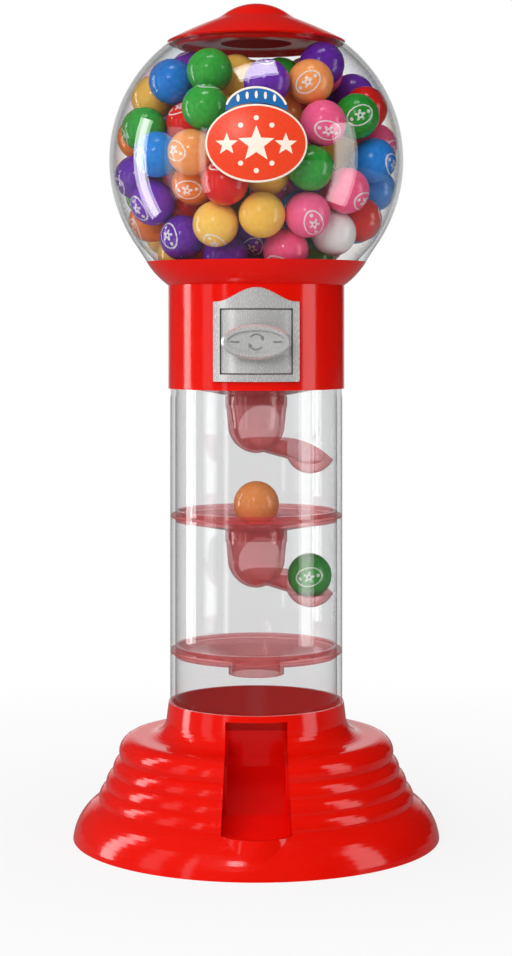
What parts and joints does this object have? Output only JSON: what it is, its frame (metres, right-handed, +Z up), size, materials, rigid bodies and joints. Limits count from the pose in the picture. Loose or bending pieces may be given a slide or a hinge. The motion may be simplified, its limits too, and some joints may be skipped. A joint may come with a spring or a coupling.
{
  "type": "gumball machine",
  "caption": "Toy gumball machine with a clear globe, a turn handle that drops a ball onto dished tracks in a clear tube, and a flared base with a tray.",
  "frame": {"origin": "centre of the foot's circle, on the surface it stands on", "axes": "+Z up along the tube, front (handle and tray) towards -Y, +X to the viewer's right"},
  "size_m": [0.1172, 0.1172, 0.2667],
  "materials": {
    "red_plastic": "gloss",
    "red_plastic_dark": "gloss",
    "grey_plastic": "matt",
    "cradle_plastic": "satin",
    "drum_plastic": "satin",
    "silver_plastic": "brushed silver finish on plastic",
    "screw_steel": "bright zinc",
    "rubber": "matt",
    "clear_plastic": "clear gloss",
    "smoky_plastic": "clear smoky pink, gloss",
    "badge_label": "gloss label",
    "badge_blue": "gloss label",
    "candy_purple": "sugar shell, gloss",
    "candy_green": "sugar shell, gloss",
    "candy_blue": "sugar shell, gloss",
    "candy_peach": "sugar shell, gloss",
    "candy_pink": "sugar shell, gloss",
    "candy_yellow": "sugar shell, gloss",
    "candy_red": "sugar shell, gloss",
    "candy_orange": "sugar shell, gloss",
    "candy_white": "sugar shell, gloss"
  },
  "bodies": {
    "machine": {"base_shell": "red_plastic", "chute_ramp": "red_plastic_dark", "base_cover": "grey_plastic", "base_screws": "screw_steel", "rubber_feet": "rubber", "lower_tube": "clear_plastic", "middle_tube": "clear_plastic", "upper_tube": "clear_plastic", "track_disc_lower": "smoky_plastic", "track_disc_middle": "smoky_plastic", "track_disc_top": "smoky_plastic", "track_cup_lower": "smoky_plastic", "track_cup_upper": "smoky_plastic", "collar": "red_plastic", "drum_cradle": "cradle_plastic", "cradle_rear_plate": "cradle_plastic", "rear_plate_screws": "screw_steel", "deck_screws": "screw_steel", "hopper_funnel": "red_plastic_dark", "dial_plate": "silver_plastic", "dial_screws": "screw_steel", "front_bezel": "silver_plastic", "spindle_bush": "grey_plastic", "globe": "clear_plastic", "front_badge": "badge_label", "badge_accent": "badge_blue", "gumballs_purple": "candy_purple", "gumballs_green": "candy_green", "gumballs_blue": "candy_blue", "gumballs_peach": "candy_peach", "gumballs_pink": "candy_pink", "gumballs_yellow": "candy_yellow", "gumballs_red": "candy_red", "gumballs_orange": "candy_orange", "gumballs_white": "candy_white", "gumball_on_disc": "candy_peach", "gumball_on_spout": "candy_green"},
    "dispenser": {"turn_handle": "silver_plastic", "handle_spindle": "screw_steel", "dispensing_drum": "drum_plastic", "spindle_washer": "screw_steel", "spindle_screw": "screw_steel"},
    "lid_body": {"lid": "red_plastic"}
  },
  "joints": [
    {"name": "handle_turn", "type": "hinge", "parent": "machine", "child": "dispenser", "pos_m": [0, -0.01, 0.1584], "axis": [0, -1, 0], "continuous": true},
    {"name": "lid_lift", "type": "slide", "parent": "machine", "child": "lid_body", "axis": [0, 0, 1], "range_m": [0, 0.04]}
  ]
}
